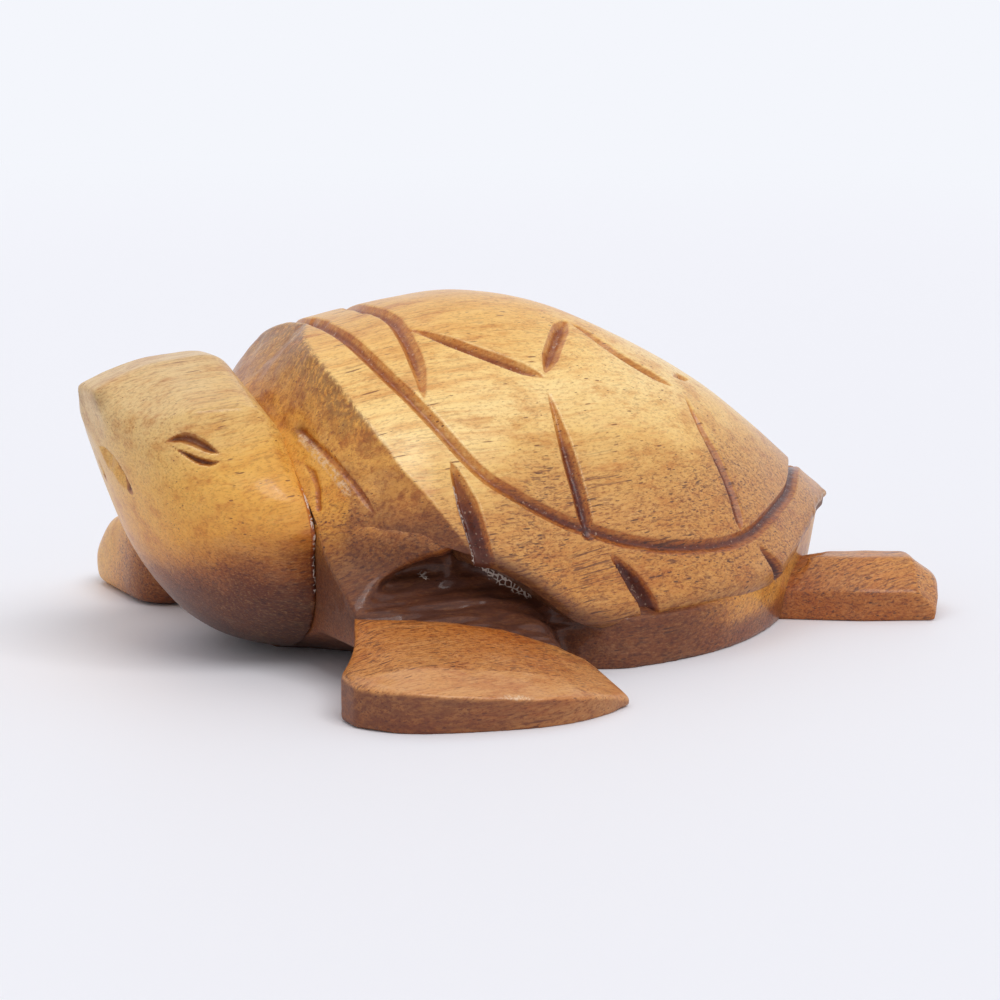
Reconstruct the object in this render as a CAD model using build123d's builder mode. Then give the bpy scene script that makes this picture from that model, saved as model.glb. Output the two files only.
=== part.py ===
"""Sea turtle figurine, carved from one block of hardwood.

Millimetres. X runs from the snout (-X) to the tail end (+X), Y across the shell, +Z up. The origin lies on the
floor under the middle of the whole figure. The figure is the same on both sides of the XZ plane, but for the front
flippers' fore ends, and the carved masses meet face to face along the carver's own cuts.
"""
from build123d import *
from math import cos, radians, sin, tan
import os

os.makedirs("parts", exist_ok=True)

# Whole figure
figure_length = 99.6         # snout to the ends of the rear flippers
overrun = 3.0                # how far a cutting block passes the wood it cuts
base_drop = 6.0              # how far the cutting blocks reach below the floor

# Shell
shell_start = -33.5          # X of the first cross-section, in front of the neck plane
shell_length = 80.1          # first cross-section to the tip over the tail
shell_height = 39.0          # crown above the floor
shell_half_width = 30.5      # widest place of the rim
shell_roundness = 2.3        # exponent of the arch: 2 is a parabola, larger is flatter on top
block_width = 160.0          # of the wood taken off around the collar and below the rim
rim_skirt = 1.2              # how far the arch runs on below the rim before it is cut

# Collar, the cone that the front of the shell is cut to
collar_length = 18.5         # first cross-section to the end of the cone, behind the crease
collar_height = 27.6         # top of the cone at its front
collar_rise = 16.3           # how much higher it is at its rear
collar_half_width = 18.5     # half width of the cone at its front
collar_spread = 11.7         # how much wider each side is at its rear
collar_foot = 14.0           # height under which the sides of the cone stand upright
collar_roundness = 2.1       # exponent of the arch at its front
collar_squareness = 1.9      # how much more it is at its rear

# Neck plane, where head, collar and body meet
neck_x = -28.8               # X of the plane at the floor
neck_lean = 7.0              # degrees that it leans forward

# Grooves that draw the scutes, and the wedge cuts in the rim
groove_width = 1.7
groove_depth = 1.0
notch_width = 2.8
notch_depth = 2.0
cutter_height = 1.2          # how far a V cutter stands out of the wood

# Lower body
body_length = 77.0           # first cross-section of the shell to the rear end of the belly at the floor
body_half_width = 29.2       # widest place of the belly
body_flare_height = 18.0     # height of the upper outline that the walls lean to
chest_height = 11.0          # how high the sides of the chest are cut away from below, in front of the neck
chest_length = 14.0          # how far back that cut runs

# Head
head_reach = 21.0            # neck plane at the floor to the snout
head_height = 33.6
head_half_width = 16.6
eye_width = 1.4              # of each of the two cuts
eye_depth = 0.9
mouth_width = 2.0
mouth_depth = 1.3

# Front flippers
paddle_start = -34.8         # X of the front edge
paddle_length = 28.0         # front edge to the pointed rear end
paddle_reach = 46.0          # Y of the outermost edge
paddle_thickness = 10.2      # at the root inside the shoulder

# Rear flippers
stub_width = 11.0
stub_height = 6.9
stub_edge = 3.5              # height of the outer wall under the bevel
stub_splay = 25.0            # degrees outward from the shell's axis
stub_inset = 16.1            # Y of the inner rear corner
stub_length = 30.0           # rear end to the root inside the body
stub_bevel = 2.4             # chamfer of the top at the rear end

# Cross-sections of the shell: place along it, then crown, rim height and half width there
shell_place_shares = (0.0, 0.15, 0.27, 0.37, 0.48, 0.60, 0.72, 0.84, 0.93, 1.0)
crown_shares = (0.885, 0.94, 0.985, 1.0, 0.957, 0.857, 0.722, 0.546, 0.402, 0.30)
rim_shares = (0.445, 0.40, 0.29, 0.151, 0.144, 0.141, 0.128, 0.138, 0.205, 0.256)
width_shares = (0.86, 0.935, 0.98, 1.0, 0.995, 0.945, 0.827, 0.617, 0.375, 0.09)
arch_shares = (-1.0, -0.87, -0.65, -0.35, 0.0, 0.35, 0.65, 0.87, 1.0)

# Grooves as (place along the shell, place from the ridge to the rim)
marginal_shares = (
    (0.136, -0.06), (0.132, 0.10), (0.140, 0.32), (0.154, 0.49), (0.180, 0.625), (0.210, 0.735), (0.244, 0.81),
    (0.288, 0.84), (0.354, 0.85), (0.398, 0.86), (0.466, 0.885), (0.542, 0.893), (0.632, 0.884),
    (0.712, 0.84), (0.806, 0.73), (0.852, 0.62), (0.893, 0.43), (0.922, 0.20), (0.932, -0.06),
)
front_scute_shares = ((0.203, -0.08), (0.208, 0.08), (0.214, 0.22), (0.210, 0.36), (0.204, 0.50), (0.192, 0.64))
scute_line_shares = (
    ((0.222, 0.31), (0.392, 0.54)),
    ((0.392, 0.53), (0.484, 0.26)),
    ((0.488, 0.27), (0.630, 0.445)),
    ((0.645, 0.37), (0.690, 0.30)),
    ((0.386, 0.56), (0.390, 0.865)),
    ((0.642, 0.46), (0.664, 0.87)),
)
scute_steps = 3              # sections between the ends of such a line
notch_line_shares = (
    ((0.200, 0.78), (0.214, 1.04)),
    ((0.415, 0.89), (0.488, 1.03)),
    ((0.690, 0.88), (0.765, 1.00)),
)
tip_notch_shares = ((0.955, 0.0), (1.015, 0.0))
fine_share = 0.2             # width of a cut at an end that runs out, against its full width

# Outline of the body as (share of its length, share of its half width), at the floor and at the flare height
body_floor_shares = ((0.0, 0.82), (0.07, 0.90), (0.21, 0.955), (0.42, 1.0), (0.59, 0.945), (0.77, 0.68),
                     (0.87, 0.43), (0.945, 0.20), (0.965, 0.0))
body_flare_shares = ((0.0, 0.62), (0.07, 0.69), (0.21, 0.90), (0.42, 1.035), (0.60, 1.01), (0.79, 0.78),
                     (0.92, 0.51), (1.01, 0.24), (1.045, 0.0))

# Head sections from the snout to the neck: top and bottom as (share of the reach, share of the height), then
# half widths as shares at the crown, under the bevel, at the cheek and low on the throat, with their levels
head_top_shares = ((1.0, 0.911), (0.857, 0.949), (0.667, 0.985), (0.50, 0.997), (0.314, 0.997))
head_bottom_shares = ((0.929, 0.726), (0.838, 0.577), (0.705, 0.363), (0.514, 0.179), (0.333, 0.08))
head_crown_shares = (0.169, 0.15, 0.139, 0.133, 0.115, 0.10)
head_bevel_shares = (0.20, 0.50, 0.71, 0.75, 0.76, 0.75)
head_cheek_shares = (0.235, 0.56, 0.795, 0.90, 0.965, 1.0)
head_throat_shares = (0.18, 0.39, 0.57, 0.69, 0.78, 0.84)
bevel_level_shares = (0.32, 0.30, 0.20, 0.157, 0.146, 0.14)
cheek_level_share = 0.47
throat_level_share = 0.83
neck_top_share = 0.885       # of the head's height, at the neck plane
neck_bottom_share = 0.012

# Eye cuts seen from the left as (share of the reach, share of the height), and the mouth seen from the front as
# (share of the half width, share of the height)
upper_eye_shares = ((0.776, 0.771), (0.730, 0.797), (0.686, 0.805), (0.610, 0.782), (0.533, 0.735))
lower_eye_shares = ((0.745, 0.757), (0.690, 0.728), (0.633, 0.711), (0.580, 0.700), (0.533, 0.697))
mouth_shares = ((-0.20, 0.742), (-0.36, 0.700), (-0.52, 0.640))

# Front flipper sections: place, then (share of the reach, share of the thickness) outside, mid-top and inside
paddle_place_shares = (0.0, 0.08, 0.193, 0.386, 0.707, 1.0)
paddle_edge_shares = ((0.815, 0.43), (0.891, 0.42), (0.939, 0.39), (0.978, 0.34), (1.0, 0.26), (0.935, 0.10))
paddle_ridge_shares = ((0.78, 0.47), (0.81, 0.51), (0.843, 0.55), (0.865, 0.51), (0.90, 0.38), (0.89, 0.15))
paddle_root_shares = ((0.74, 0.49), (0.62, 0.68), (0.47, 0.86), (0.43, 1.0), (0.43, 0.90), (0.43, 0.60))
# Fore end of the right one, which is thicker: its first sections
right_edge_shares = ((0.87, 0.42), (0.91, 0.43), (0.945, 0.40))
right_ridge_shares = ((0.735, 1.02), (0.765, 0.98), (0.80, 0.90))
right_root_shares = ((0.565, 1.10), (0.50, 1.12), (0.45, 1.12))

# Top of the rear flipper's section, from its inner side: (share of the width, share of the height)
stub_top_shares = ((0.0, 0.60), (0.25, 1.0), (0.62, 1.0))


def between(x, places, values):
    """Smooth curve through the values at the places: a cubic, with slopes taken from the neighbours."""
    last = len(places) - 1
    i = max(k for k in range(last) if k == 0 or x >= places[k])
    slopes = []
    for k in (i, i + 1):
        low, high = max(k - 1, 0), min(k + 1, last)
        slopes.append((values[high] - values[low]) / (places[high] - places[low]))
    span = places[i + 1] - places[i]
    rise = values[i + 1] - values[i]
    u = (x - places[i]) / span
    start_bend = slopes[0] * span - rise
    end_bend = rise - slopes[1] * span
    return values[i] + u * rise + u * (1 - u) * (start_bend * (1 - u) + end_bend * u)


def shell_x(place):
    return shell_start + shell_length * place


def crown_at(place):
    return shell_height * between(place, shell_place_shares, crown_shares)


def rim_at(place):
    return shell_height * between(place, shell_place_shares, rim_shares)


def half_width_at(place):
    return shell_half_width * between(place, shell_place_shares, width_shares)


def arch_height(crown, foot, side, roundness):
    """Height of an arch at a share of its half width to the side."""
    return crown - (crown - foot) * abs(side) ** roundness


def shell_point(place, side):
    """Point of the shell's surface, from its place along the shell and from the ridge to the rim."""
    z = arch_height(crown_at(place), rim_at(place), side, shell_roundness)
    return Vector(shell_x(place), -half_width_at(place) * side, z)


def shell_normal(place, side, step_share=0.01):
    along = shell_point(place + step_share, side) - shell_point(place - step_share, side)
    down = shell_point(place, side + step_share) - shell_point(place, side - step_share)
    return down.cross(along).normalized()


def cross_plane(x):
    """Plane across the figure at x, with its own x along Y and its own y up."""
    return Plane(origin=(x, 0, 0), x_dir=(0, 1, 0), z_dir=(1, 0, 0))


def arch_points(crown, foot, half_width, roundness):
    return [(half_width * t, arch_height(crown, foot, t, roundness)) for t in arch_shares]


def v_cutter(points, normals, sizes, width, depth):
    """Ruled loft of V sections along the points, each square to the path and upright on the wood."""
    last = len(points) - 1
    with BuildPart() as cutter:
        for i, point in enumerate(points):
            along = points[min(i + 1, last)] - points[max(i - 1, 0)]
            side = along.cross(normals[i]).normalized()
            half = width / 2 * sizes[i] * (depth + cutter_height) / depth
            section_plane = Plane(origin=point, x_dir=side, z_dir=side.cross(normals[i]))
            with BuildSketch(section_plane):
                with BuildLine():
                    Polyline((-half, cutter_height), (0, -depth * sizes[i]), (half, cutter_height), close=True)
                make_face()
        loft(ruled=True)
    return cutter.part


def groove(path, width, depth, end_size_share=1.0):
    """V cutter that follows the shell; end_size_share makes it run out at both ends, as a knife cut does."""
    points = [shell_point(place, side) for place, side in path]
    normals = [shell_normal(place, side) for place, side in path]
    sizes = [1.0] * len(path)
    sizes[0] = sizes[-1] = end_size_share
    return v_cutter(points, normals, sizes, width, depth)


def straight(start, end):
    """Places along a straight knife cut between two places on the shell."""
    shares = [i / scute_steps for i in range(scute_steps + 1)]
    return [(start[0] + (end[0] - start[0]) * t, start[1] + (end[1] - start[1]) * t) for t in shares]


neck_plane = Plane(
    origin=(neck_x, 0, 0), x_dir=(0, 1, 0), z_dir=(cos(radians(neck_lean)), 0, sin(radians(neck_lean))))

# Shell before it is cut: a loft through arches on upright sides
with BuildPart() as shell_block:
    for place in shell_place_shares:
        with BuildSketch(cross_plane(shell_x(place))):
            with BuildLine():
                arch = arch_points(crown_at(place), rim_at(place) - rim_skirt, half_width_at(place), shell_roundness)
                Spline(*arch)
                Polyline(arch[-1], (arch[-1][0], -overrun), (arch[0][0], -overrun), arch[0])
            make_face()
    loft()

# Cone that the front of the shell is chiselled to
with BuildPart() as collar_cone:
    for growth in (0.0, 1.0):
        with BuildSketch(cross_plane(shell_start + collar_length * growth)):
            with BuildLine():
                half = collar_half_width + collar_spread * growth
                roundness = collar_roundness + collar_squareness * growth
                arch = arch_points(collar_height + collar_rise * growth, collar_foot, half, roundness)
                Spline(*arch)
                Polyline(arch[-1], (half, -base_drop), (-half, -base_drop), arch[0])
            make_face()
    loft(ruled=True)

# Wood that the chisel takes off around that cone
with BuildPart() as collar_waste:
    with BuildSketch(cross_plane(shell_start)):
        Rectangle(block_width, block_width)
    extrude(amount=collar_length)
    add(collar_cone.part, mode=Mode.SUBTRACT)

# Everything below the rim: the rim line in side view, drawn down to the floor and carried across the shell
with BuildPart() as under_shell:
    with BuildSketch(Plane.XZ):
        with BuildLine():
            rim_line = [(shell_x(place), rim_at(place)) for place in shell_place_shares]
            front = (shell_start - overrun, rim_line[0][1])
            rear = (rim_line[-1][0] + overrun, rim_line[-1][1])
            Polyline(front, *rim_line, rear, (rear[0], -base_drop), (front[0], -base_drop), close=True)
        make_face()
    extrude(amount=block_width / 2, both=True)

# Grooves of the left side, their mirror images and the notch on the midline
cuts = [groove(marginal_shares, groove_width, groove_depth), groove(front_scute_shares, groove_width, groove_depth)]
cuts += [groove(straight(*line), groove_width, groove_depth, fine_share) for line in scute_line_shares]
cuts += [groove(straight(*line), notch_width, notch_depth) for line in notch_line_shares]
cuts += [cut.mirror(Plane.XZ) for cut in cuts]
cuts.append(groove(straight(*tip_notch_shares), groove_width, groove_depth))

# Carapace
with BuildPart() as carapace_blank:
    add(shell_block.part)
    add([collar_waste.part, under_shell.part], mode=Mode.SUBTRACT, clean=False)
    split(bisect_by=neck_plane, keep=Keep.TOP)
with BuildPart() as carapace:
    add(carapace_blank.part)
    for cut in cuts:
        add(cut, mode=Mode.SUBTRACT, clean=False)


def body_outline(shares):
    return [(shell_start + body_length * along, body_half_width * out) for along, out in shares]


# Wood that is cut away under the chest: deepest at the neck and at the sides, nothing on the midline
with BuildPart() as chest_waste:
    for x, middle, sides in ((neck_x - overrun, 0.0, chest_height), (neck_x + chest_length, -overrun, 0.0)):
        with BuildSketch(cross_plane(x)):
            with BuildLine():
                Polyline((0, middle), (body_half_width, sides), (body_half_width, -base_drop),
                         (-body_half_width, -base_drop), (-body_half_width, sides), close=True)
            make_face()
    loft(ruled=True)

# Plastron: belly, shoulders and the lower band, up to the rim line
with BuildPart() as plastron:
    for height, shares in ((0.0, body_floor_shares), (body_flare_height, body_flare_shares)):
        with BuildSketch(Plane.XY.offset(height)):
            with BuildLine():
                half_outline = body_outline(shares)
                Line((half_outline[0][0], -half_outline[0][1]), half_outline[0])
                Line(half_outline[0], half_outline[1])
                Spline(*half_outline[1:])
                Spline(*[(x, -y) for x, y in reversed(half_outline[1:])])
                Line((half_outline[1][0], -half_outline[1][1]), (half_outline[0][0], -half_outline[0][1]))
            make_face()
    loft(ruled=True)
    split(bisect_by=neck_plane, keep=Keep.TOP)
    add(under_shell.part, mode=Mode.INTERSECT)
    add(chest_waste.part, mode=Mode.SUBTRACT)

# Head and neck: a loft of five-sided sections with a round throat, from the snout to the neck plane
neck_top = head_height * neck_top_share
neck_bottom = head_height * neck_bottom_share
head_tops = [Vector(neck_x - head_reach * a, 0, head_height * z) for a, z in head_top_shares]
head_tops.append(Vector(neck_x - neck_top * tan(radians(neck_lean)), 0, neck_top))
head_bottoms = [Vector(neck_x - head_reach * a, 0, head_height * z) for a, z in head_bottom_shares]
head_bottoms.append(Vector(neck_x - neck_bottom * tan(radians(neck_lean)), 0, neck_bottom))
with BuildPart() as head_blank:
    for i, top in enumerate(head_tops):
        down = head_bottoms[i] - top
        section_plane = Plane(origin=top, x_dir=(0, 1, 0), z_dir=Vector(0, 1, 0).cross(-down))
        depth = down.length
        crown = head_half_width * head_crown_shares[i]
        bevel = (head_half_width * head_bevel_shares[i], -depth * bevel_level_shares[i])
        cheek = (head_half_width * head_cheek_shares[i], -depth * cheek_level_share)
        throat = (head_half_width * head_throat_shares[i], -depth * throat_level_share)
        with BuildSketch(section_plane):
            with BuildLine():
                Line((-crown, 0), (crown, 0))
                Line((crown, 0), bevel)
                Spline(bevel, cheek, throat, (0, -depth), (-throat[0], throat[1]), (-cheek[0], cheek[1]),
                       (-bevel[0], bevel[1]))
                Line((-bevel[0], bevel[1]), (-crown, 0))
            make_face()
    loft()


def face_cut(places, direction, width, depth):
    """V cutter on the head where lines through the places enter it, running out at both ends."""
    found = []
    for place in places:
        hits = head_blank.part.find_intersection_points(Axis(place, direction))
        found.append(min(hits, key=lambda hit: hit[0].dot(Vector(direction))))
    sizes = [fine_share] + [1.0] * (len(places) - 2) + [fine_share]
    return v_cutter([hit[0] for hit in found], [hit[1] for hit in found], sizes, width, depth)


face_cuts = []
for path in (upper_eye_shares, lower_eye_shares):
    places = [(neck_x - head_reach * reach, 0, head_height * height) for reach, height in path]
    face_cuts.append(face_cut(places, (0, 1, 0), eye_width, eye_depth))
places = [(neck_x, head_half_width * side, head_height * height) for side, height in mouth_shares]
face_cuts.append(face_cut(places, (1, 0, 0), mouth_width, mouth_depth))
with BuildPart() as head_and_neck:
    add(head_blank.part)
    for cut in face_cuts:
        add(cut, mode=Mode.SUBTRACT, clean=False)
        add(cut.mirror(Plane.XZ), mode=Mode.SUBTRACT, clean=False)


def left_paddle(edges, ridges, roots):
    """Front flipper on the left: a ruled loft of sections from its fore end to the point."""
    with BuildPart() as paddle:
        for i, place in enumerate(paddle_place_shares):
            outer, middle, inner = (-paddle_reach * p[0] for p in (edges[i], ridges[i], roots[i]))
            outer_z, middle_z, inner_z = (paddle_thickness * p[1] for p in (edges[i], ridges[i], roots[i]))
            with BuildSketch(cross_plane(paddle_start + paddle_length * place)):
                with BuildLine():
                    Polyline((outer, 0), (outer, outer_z), (middle, middle_z), (inner, inner_z), (inner, 0),
                             close=True)
                make_face()
        loft(ruled=True)
    return paddle.part


# Front flippers, less the shoulder that they stand against
with BuildPart() as front_flipper_left:
    add(left_paddle(paddle_edge_shares, paddle_ridge_shares, paddle_root_shares))
    add(plastron.part, mode=Mode.SUBTRACT)
with BuildPart() as front_flipper_right:
    mirror(left_paddle(
        right_edge_shares + paddle_edge_shares[len(right_edge_shares):],
        right_ridge_shares + paddle_ridge_shares[len(right_ridge_shares):],
        right_root_shares + paddle_root_shares[len(right_root_shares):]), about=Plane.XZ)
    add(plastron.part, mode=Mode.SUBTRACT)

# Rear flipper of the left side, then its mirror image
stub_direction = Vector(-cos(radians(stub_splay)), sin(radians(stub_splay)), 0)
stub_plane = Plane(origin=(figure_length / 2, -stub_inset, 0), x_dir=Vector(0, 0, 1).cross(stub_direction),
                   z_dir=stub_direction)
with BuildPart() as rear_flipper_left:
    with BuildSketch(stub_plane):
        with BuildLine():
            corners = [(stub_width * across, stub_height * up) for across, up in stub_top_shares]
            Polyline((0, 0), *corners, (stub_width, stub_edge), (stub_width, 0), close=True)
        make_face()
    extrude(amount=stub_length)
    rear_edges = rear_flipper_left.faces().sort_by(Axis(stub_plane.origin, stub_direction))[0].edges()
    chamfer([edge for edge in rear_edges if edge.center().Z > stub_edge], length=stub_bevel)
    add([plastron.part, carapace_blank.part], mode=Mode.SUBTRACT)
with BuildPart() as rear_flipper_right:
    mirror(rear_flipper_left.part, about=Plane.XZ)

nodes = {
    "carapace": carapace,
    "plastron": plastron,
    "head_and_neck": head_and_neck,
    "front_flipper_left": front_flipper_left,
    "front_flipper_right": front_flipper_right,
    "rear_flipper_left": rear_flipper_left,
    "rear_flipper_right": rear_flipper_right,
}
for name, node in nodes.items():
    node.part.label = name
    export_step(node.part, f"parts/{name}.step")
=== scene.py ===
"""Looks of the carved wooden turtle: the knife work, the wood and the lacquer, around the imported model.

The working arrays are in millimetres and Blender's objects in metres, in the model's own frame: X from the snout to
the tail end, +Z up, the animal's left side at -Y. The shell, the head and the front flippers repeat the sizes of the
model's source; the rest starts from its solids.
"""
import itertools
import math
import bpy
import numpy as np
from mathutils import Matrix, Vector


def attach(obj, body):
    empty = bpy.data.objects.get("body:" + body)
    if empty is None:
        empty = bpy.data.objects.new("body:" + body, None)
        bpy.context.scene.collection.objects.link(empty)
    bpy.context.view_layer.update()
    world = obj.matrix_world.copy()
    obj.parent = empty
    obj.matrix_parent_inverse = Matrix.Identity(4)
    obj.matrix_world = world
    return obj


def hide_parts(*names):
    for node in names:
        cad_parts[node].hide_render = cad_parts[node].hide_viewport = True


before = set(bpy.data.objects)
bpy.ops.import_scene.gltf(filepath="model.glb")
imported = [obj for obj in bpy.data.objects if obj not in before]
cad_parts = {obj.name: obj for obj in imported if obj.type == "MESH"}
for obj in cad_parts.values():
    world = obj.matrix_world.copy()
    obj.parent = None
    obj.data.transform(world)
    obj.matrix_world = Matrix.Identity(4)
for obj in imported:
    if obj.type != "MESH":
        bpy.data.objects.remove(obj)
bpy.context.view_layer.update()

MM = 0.001

# Camera, at the photograph's viewing angle
camera_place = (-140.378, -265.477, 68.479)
camera_azimuth = -28.0
camera_elevation = 10.2586
camera_lens = 93.6

# Shell
shell_start = -33.5
shell_length = 80.1
shell_height = 39.0
shell_half_width = 30.5
shell_roundness = 2.3
rim_skirt = 1.2
neck_x = -28.8
neck_slope = math.tan(math.radians(7.0))
collar_length = 18.5
collar_height = 27.6
collar_rise = 16.3
collar_half_width = 18.5
collar_spread = 11.7
collar_foot = 14.0
collar_roundness = 2.1
collar_squareness = 1.9
collar_fullness = (         # (distance from the ridge, extra height), so that the crease is straight
    (0, 0.3), (3, 1.2), (6, 2.0), (9, 2.4), (12, 2.6), (15, 2.8), (18, 3.0), (21, 2.9), (24, 3.2), (27, 2.5), (30, 0))
collar_normal = np.array((-0.52, -0.72, 0.46))      # way that the left side of the collar faces
crease_radius = 0.25
shell_place_shares = (0.0, 0.15, 0.27, 0.37, 0.48, 0.60, 0.72, 0.84, 0.93, 1.0)
crown_shares = (0.885, 0.94, 0.985, 1.0, 0.957, 0.857, 0.722, 0.546, 0.402, 0.30)
rim_shares = (0.445, 0.40, 0.29, 0.151, 0.144, 0.141, 0.128, 0.138, 0.205, 0.256)
width_shares = (0.86, 0.935, 0.98, 1.0, 0.995, 0.945, 0.827, 0.617, 0.375, 0.09)
rear_trim = (               # (x, share of the width that the knife left)
    (4, 1.0), (18, 0.99), (26, 0.97), (31, 0.92), (36, 0.85), (41, 0.77), (46.6, 0.65))
rim_radii = ((-17, 0.8), (-6, 1.2), (2, 2.4), (30, 2.2), (44, 0.8))
rim_sink = 0.14             # of the rim where body and collar are one face

# Head
head_reach = 21.0
head_height = 33.6
head_half_width = 16.6
head_top_shares = ((1.0, 0.911), (0.857, 0.949), (0.667, 0.985), (0.50, 0.997), (0.314, 0.997))
head_bottom_shares = ((0.929, 0.726), (0.838, 0.577), (0.705, 0.363), (0.514, 0.179), (0.333, 0.08))
head_crown_shares = (0.169, 0.15, 0.139, 0.133, 0.115, 0.10)
head_bevel_shares = (0.20, 0.50, 0.71, 0.75, 0.76, 0.75)
head_cheek_shares = (0.235, 0.56, 0.795, 0.90, 0.965, 1.0)
head_throat_shares = (0.18, 0.39, 0.57, 0.69, 0.78, 0.84)
bevel_level_shares = (0.32, 0.30, 0.20, 0.157, 0.146, 0.14)
cheek_level_share = 0.47
throat_level_share = 0.83
neck_top_share = 0.885
neck_bottom_share = 0.012
cheek_flare = 1.4           # that the cheek widens by where it meets the collar
head_mesh = 0.2

# Lower body, as (share of its length, share of its half width) at the floor and at the flare height
body_length = 77.0
body_half_width = 29.2
body_flare_height = 18.0
body_floor_shares = ((0.0, 0.82), (0.07, 0.90), (0.21, 0.955), (0.42, 1.0), (0.59, 0.945), (0.77, 0.68), (0.87, 0.43))
body_flare_shares = ((0.0, 0.62), (0.07, 0.69), (0.21, 0.90), (0.42, 1.035), (0.60, 1.01), (0.79, 0.78), (0.92, 0.51))

body_mesh = 0.25
body_lap = 0.9              # that the body's top stands up into the shell
pocket_depth = 4.4          # between shoulder, rim and flipper
pocket_foot = 5.0           # height of the foot that the pocket runs out on over the flipper
flipper_joint = (           # x, distance out and height of the line where a front flipper meets the body
    (-31.0, 24.6, 8.1), (-29.5, 25.8, 8.0), (-21.9, 29.2, 7.6), (-15.3, 31.1, 6.4), (-9.6, 32.6, 4.3), (-6, 33.0, 2.0))

# Front flippers: place, then (share of the reach, share of the thickness) outside, mid-top and inside
paddle_start = -34.8
paddle_length = 28.0
paddle_reach = 46.0
paddle_thickness = 10.2
paddle_place_shares = (0.0, 0.08, 0.193, 0.386, 0.707, 1.0)
paddle_edge_shares = ((0.815, 0.43), (0.891, 0.42), (0.939, 0.39), (0.978, 0.34), (1.0, 0.26), (0.935, 0.10))
paddle_ridge_shares = ((0.78, 0.47), (0.81, 0.51), (0.843, 0.55), (0.865, 0.51), (0.90, 0.38), (0.89, 0.15))
paddle_root_shares = ((0.74, 0.49), (0.62, 0.68), (0.47, 0.86), (0.43, 1.0), (0.43, 0.90), (0.43, 0.60))
left_root_shares = ((0.74, 0.49), (0.675, 0.60), (0.53, 0.84))
right_edge_shares = ((0.87, 0.42), (0.91, 0.43), (0.945, 0.40))
right_ridge_shares = ((0.735, 1.02), (0.765, 0.98), (0.80, 0.90))
right_root_shares = ((0.565, 1.10), (0.50, 1.12), (0.45, 1.12))
paddle_inside = 23.0        # how far out the part that the body hides begins
left_fore_bulge = 0.8
right_fore_reach = 0.6
right_fore_spread = 1.2
flipper_mesh = 0.2

# Rear flippers
stub_root_forward = 3.0     # that the root runs on into the body
stub_root_inward = 3.5
stub_bulge = 1.6            # of the end, at half height
stub_mesh = 0.22


# Small numeric tools

def curve(x, places, values):
    """Smooth curve through the values at the places: a cubic, with slopes taken from the neighbours."""
    places, values = np.asarray(places, float), np.asarray(values, float)
    count = len(places)
    low, high = np.maximum(np.arange(count) - 1, 0), np.minimum(np.arange(count) + 1, count - 1)
    slope = (values[high] - values[low]) / (places[high] - places[low])
    i = np.clip(np.searchsorted(places, x, side="right") - 1, 0, count - 2)
    span, rise = places[i + 1] - places[i], values[i + 1] - values[i]
    u = (x - places[i]) / span
    bend = (slope[i] * span - rise) * (1 - u) + (rise - slope[i + 1] * span) * u
    return values[i] + u * rise + u * (1 - u) * bend


def natural_spline(places, values, x):
    """Natural cubic spline through rows of values."""
    places, values = np.asarray(places, float), np.asarray(values, float)
    count = len(places)
    step = np.diff(places)
    matrix, right = np.eye(count), np.zeros_like(values)
    for k in range(1, count - 1):
        matrix[k, k - 1:k + 2] = step[k - 1], 2 * (step[k - 1] + step[k]), step[k]
        right[k] = 6 * ((values[k + 1] - values[k]) / step[k] - (values[k] - values[k - 1]) / step[k - 1])
    bend = np.linalg.solve(matrix, right)
    i = np.clip(np.searchsorted(places, x, side="right") - 1, 0, count - 2)
    a, b, h = (part[:, None] for part in (places[i + 1] - x, x - places[i], step[i]))
    return (bend[i] * a ** 3 + bend[i + 1] * b ** 3) / (6 * h) + (
        (values[i] / h - bend[i] * h / 6) * a + (values[i + 1] / h - bend[i + 1] * h / 6) * b)


def noise(points, size, seed=0):
    """Smooth value noise from -1 to 1, over cells of the given size."""
    p = points / size + seed * 17.31
    cell = np.floor(p).astype(np.int64)
    f = p - cell
    f = f * f * (3 - 2 * f)
    total = np.zeros(points.shape[:-1])
    for corner in itertools.product((0, 1), repeat=3):
        c = cell + np.array(corner)
        mixed = (c[..., 0] * 73856093) ^ (c[..., 1] * 19349663) ^ (c[..., 2] * 83492791)
        mixed = (mixed & 0xFFFFFFFF) * 1274126177 & 0xFFFFFFFF
        mixed = (mixed ^ (mixed >> 15)) * 668265263 & 0xFFFFFFFF
        value = ((mixed >> 9) & 0xFFFF) / 32767.5 - 1
        total += value * np.prod(np.where(np.array(corner) == 1, f, 1 - f), axis=-1)
    return total


def unevenness(points, *layers):
    """Sum of noises, each given as (height, size of its cells, seed)."""
    return sum(height * noise(points, size, seed) for height, size, seed in layers)


def look_up(x, table):
    """Value at x by straight lines through a table of (x, value) pairs."""
    return np.interp(x, *zip(*table))


def distance_along(line):
    """Length from a line's first point to each of its points."""
    return np.concatenate([[0], np.cumsum(np.linalg.norm(np.diff(line, axis=0), axis=1))])


def ramp(x, start, end):
    """Smooth step from 0 at start to 1 at end."""
    t = np.clip((x - start) / (end - start), 0, 1)
    return t * t * (3 - 2 * t)


def blob(points, centre, radii):
    """Soft spot, 1 at its centre and 0 beyond its radii."""
    d = np.sqrt((((points - np.array(centre)) / np.array(radii)) ** 2).sum(-1))
    return ramp(d, 1.0, 0.0)


# Shell surface, as in the model's source

def shell_x(place):
    return shell_start + shell_length * place


def shell_sizes(place):
    """Heights of the ridge and the rim, and the half width, at a share of the shell's length."""
    return [size * curve(place, shell_place_shares, shares) for size, shares in (
        (shell_height, crown_shares), (shell_height, rim_shares), (shell_half_width, width_shares))]


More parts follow.
